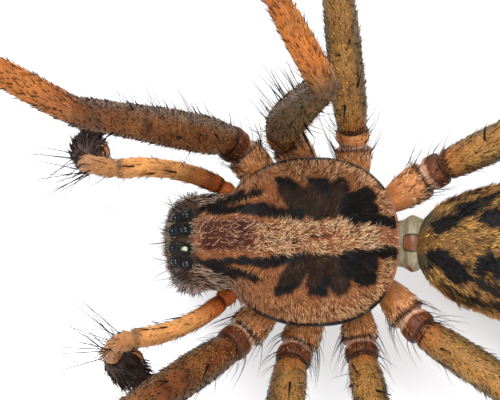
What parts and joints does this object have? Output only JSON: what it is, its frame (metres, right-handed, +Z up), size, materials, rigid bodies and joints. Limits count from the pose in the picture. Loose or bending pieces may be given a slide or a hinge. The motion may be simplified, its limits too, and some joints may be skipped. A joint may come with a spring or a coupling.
{
  "type": "house spider",
  "caption": "Male house spider, life size, standing on all its legs, with palps, hairy body and raised knees.",
  "frame": {"origin": "on the floor, under the middle of the animal's box", "axes": "+Z up; the animal faces -Y, its right side is -X"},
  "size_m": [0.0486, 0.0544, 0.0118],
  "materials": {
    "carapace_brown": "brown cuticle with black lobes under short golden hair",
    "leg_orange": "orange-brown cuticle under short golden hair and dark bristles",
    "leg_dark": "reddish-brown cuticle under short hair and dark bristles",
    "abdomen_tan": "soft skin under dense tan and black hair",
    "jaw_brown": "dark brown smooth cuticle",
    "waist_grey": "greenish-grey moist membrane",
    "club_dark": "dark cuticle under dense black bristles",
    "eye_black": "polished black lens"
  },
  "bodies": {
    "root": {"abdomen": "abdomen_tan", "carapace": "carapace_brown", "chelicera_left": "jaw_brown", "chelicera_right": "jaw_brown", "eye_ale_left": "eye_black", "eye_ale_right": "eye_black", "eye_ame_left": "eye_black", "eye_ame_right": "eye_black", "eye_ple_left": "eye_black", "eye_ple_right": "eye_black", "eye_pme_left": "eye_black", "eye_pme_right": "eye_black", "fang_left": "jaw_brown", "fang_right": "jaw_brown", "labium": "jaw_brown", "leg1_left_coxa": "leg_orange", "leg1_left_femur": "leg_dark", "leg1_left_foot": "leg_orange", "leg1_left_tibia": "leg_orange", "leg1_right_coxa": "leg_orange", "leg1_right_femur": "leg_dark", "leg1_right_foot": "leg_orange", "leg1_right_tibia": "leg_orange", "leg2_left_coxa": "leg_orange", "leg2_left_femur": "leg_orange", "leg2_left_foot": "leg_orange", "leg2_left_tibia": "leg_orange", "leg2_right_coxa": "leg_orange", "leg2_right_femur": "leg_orange", "leg2_right_foot": "leg_orange", "leg2_right_tibia": "leg_orange", "leg3_left_coxa": "leg_orange", "leg3_left_femur": "leg_orange", "leg3_left_foot": "leg_orange", "leg3_left_tibia": "leg_orange", "leg3_right_coxa": "leg_orange", "leg3_right_femur": "leg_orange", "leg3_right_foot": "leg_orange", "leg3_right_tibia": "leg_orange", "leg4_left_coxa": "leg_orange", "leg4_left_femur": "leg_orange", "leg4_left_foot": "leg_orange", "leg4_left_tibia": "leg_orange", "leg4_right_coxa": "leg_orange", "leg4_right_femur": "leg_orange", "leg4_right_foot": "leg_orange", "leg4_right_tibia": "leg_orange", "palp_left_club": "club_dark", "palp_left_coxa": "leg_orange", "palp_left_femur": "leg_orange", "palp_left_tibia": "leg_orange", "palp_right_club": "club_dark", "palp_right_coxa": "leg_orange", "palp_right_femur": "leg_orange", "palp_right_tibia": "leg_orange", "pedicel": "waist_grey", "spinnerets": "jaw_brown", "sternum": "jaw_brown"}
  },
  "joints": []
}
